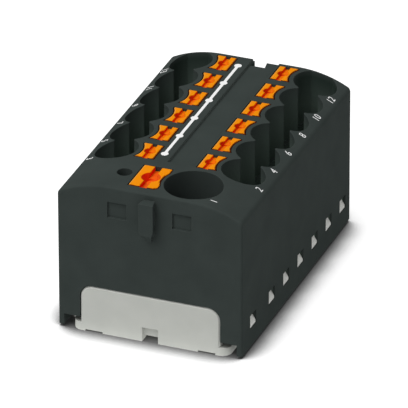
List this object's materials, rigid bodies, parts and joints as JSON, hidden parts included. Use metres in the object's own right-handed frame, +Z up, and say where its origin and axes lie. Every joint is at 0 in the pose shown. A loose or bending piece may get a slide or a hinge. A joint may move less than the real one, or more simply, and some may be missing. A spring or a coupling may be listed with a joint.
{
  "type": "power distribution block",
  "caption": "Push-in power distribution block: crowned housing with two rows of conductor pockets and push buttons, a feed pocket at one end, and a base cover held by snap arms.",
  "frame": {"origin": "under the middle of the housing, in the plane that the base stands on", "axes": "+X across the block to its right, +Y along it from the feed end to the back, +Z up"},
  "size_m": [0.0286, 0.0468, 0.0245],
  "materials": {
    "housing_plastic": "dark grey-green moulded polyamide, fine matt grain",
    "base_plastic": "light grey moulded polyamide, matt",
    "button_plastic": "orange moulded plastic, satin",
    "tinned_copper": "tin-plated copper, bright",
    "spring_steel": "rolled spring steel strip"
  },
  "bodies": {
    "root": {"housing": "housing_plastic", "base_cover": "base_plastic", "busbar": "tinned_copper", "clamp_spring_left_1": "spring_steel", "clamp_spring_left_2": "spring_steel", "clamp_spring_left_3": "spring_steel", "clamp_spring_left_4": "spring_steel", "clamp_spring_left_5": "spring_steel", "clamp_spring_left_6": "spring_steel", "clamp_spring_right_1": "spring_steel", "clamp_spring_right_2": "spring_steel", "clamp_spring_right_3": "spring_steel", "clamp_spring_right_4": "spring_steel", "clamp_spring_right_5": "spring_steel", "clamp_spring_right_6": "spring_steel", "feed_clamp_spring": "spring_steel"},
    "button_left_1": {"button_left_1": "button_plastic"},
    "button_left_2": {"button_left_2": "button_plastic"},
    "button_left_3": {"button_left_3": "button_plastic"},
    "button_left_4": {"button_left_4": "button_plastic"},
    "button_left_5": {"button_left_5": "button_plastic"},
    "button_left_6": {"button_left_6": "button_plastic"},
    "button_right_1": {"button_right_1": "button_plastic"},
    "button_right_2": {"button_right_2": "button_plastic"},
    "button_right_3": {"button_right_3": "button_plastic"},
    "button_right_4": {"button_right_4": "button_plastic"},
    "button_right_5": {"button_right_5": "button_plastic"},
    "button_right_6": {"button_right_6": "button_plastic"},
    "feed_button": {"feed_button": "button_plastic"}
  },
  "joints": [
    {"name": "button_left_1_press", "type": "slide", "parent": "root", "child": "button_left_1", "axis": [0, 0, -1], "range_m": [0, 0.0015], "stiffness_N_per_m": 600, "springref_m": -0.002, "deforming": ["clamp_spring_left_1"]},
    {"name": "button_left_2_press", "type": "slide", "parent": "root", "child": "button_left_2", "axis": [0, 0, -1], "range_m": [0, 0.0015], "stiffness_N_per_m": 600, "springref_m": -0.002, "deforming": ["clamp_spring_left_2"]},
    {"name": "button_left_3_press", "type": "slide", "parent": "root", "child": "button_left_3", "axis": [0, 0, -1], "range_m": [0, 0.0015], "stiffness_N_per_m": 600, "springref_m": -0.002, "deforming": ["clamp_spring_left_3"]},
    {"name": "button_left_4_press", "type": "slide", "parent": "root", "child": "button_left_4", "axis": [0, 0, -1], "range_m": [0, 0.0015], "stiffness_N_per_m": 600, "springref_m": -0.002, "deforming": ["clamp_spring_left_4"]},
    {"name": "button_left_5_press", "type": "slide", "parent": "root", "child": "button_left_5", "axis": [0, 0, -1], "range_m": [0, 0.0015], "stiffness_N_per_m": 600, "springref_m": -0.002, "deforming": ["clamp_spring_left_5"]},
    {"name": "button_left_6_press", "type": "slide", "parent": "root", "child": "button_left_6", "axis": [0, 0, -1], "range_m": [0, 0.0015], "stiffness_N_per_m": 600, "springref_m": -0.002, "deforming": ["clamp_spring_left_6"]},
    {"name": "button_right_1_press", "type": "slide", "parent": "root", "child": "button_right_1", "axis": [0, 0, -1], "range_m": [0, 0.0015], "stiffness_N_per_m": 600, "springref_m": -0.002, "deforming": ["clamp_spring_right_1"]},
    {"name": "button_right_2_press", "type": "slide", "parent": "root", "child": "button_right_2", "axis": [0, 0, -1], "range_m": [0, 0.0015], "stiffness_N_per_m": 600, "springref_m": -0.002, "deforming": ["clamp_spring_right_2"]},
    {"name": "button_right_3_press", "type": "slide", "parent": "root", "child": "button_right_3", "axis": [0, 0, -1], "range_m": [0, 0.0015], "stiffness_N_per_m": 600, "springref_m": -0.002, "deforming": ["clamp_spring_right_3"]},
    {"name": "button_right_4_press", "type": "slide", "parent": "root", "child": "button_right_4", "axis": [0, 0, -1], "range_m": [0, 0.0015], "stiffness_N_per_m": 600, "springref_m": -0.002, "deforming": ["clamp_spring_right_4"]},
    {"name": "button_right_5_press", "type": "slide", "parent": "root", "child": "button_right_5", "axis": [0, 0, -1], "range_m": [0, 0.0015], "stiffness_N_per_m": 600, "springref_m": -0.002, "deforming": ["clamp_spring_right_5"]},
    {"name": "button_right_6_press", "type": "slide", "parent": "root", "child": "button_right_6", "axis": [0, 0, -1], "range_m": [0, 0.0015], "stiffness_N_per_m": 600, "springref_m": -0.002, "deforming": ["clamp_spring_right_6"]},
    {"name": "feed_button_press", "type": "slide", "parent": "root", "child": "feed_button", "axis": [0, 0, -1], "range_m": [0, 0.0018], "stiffness_N_per_m": 900, "springref_m": -0.002, "deforming": ["feed_clamp_spring"]}
  ]
}
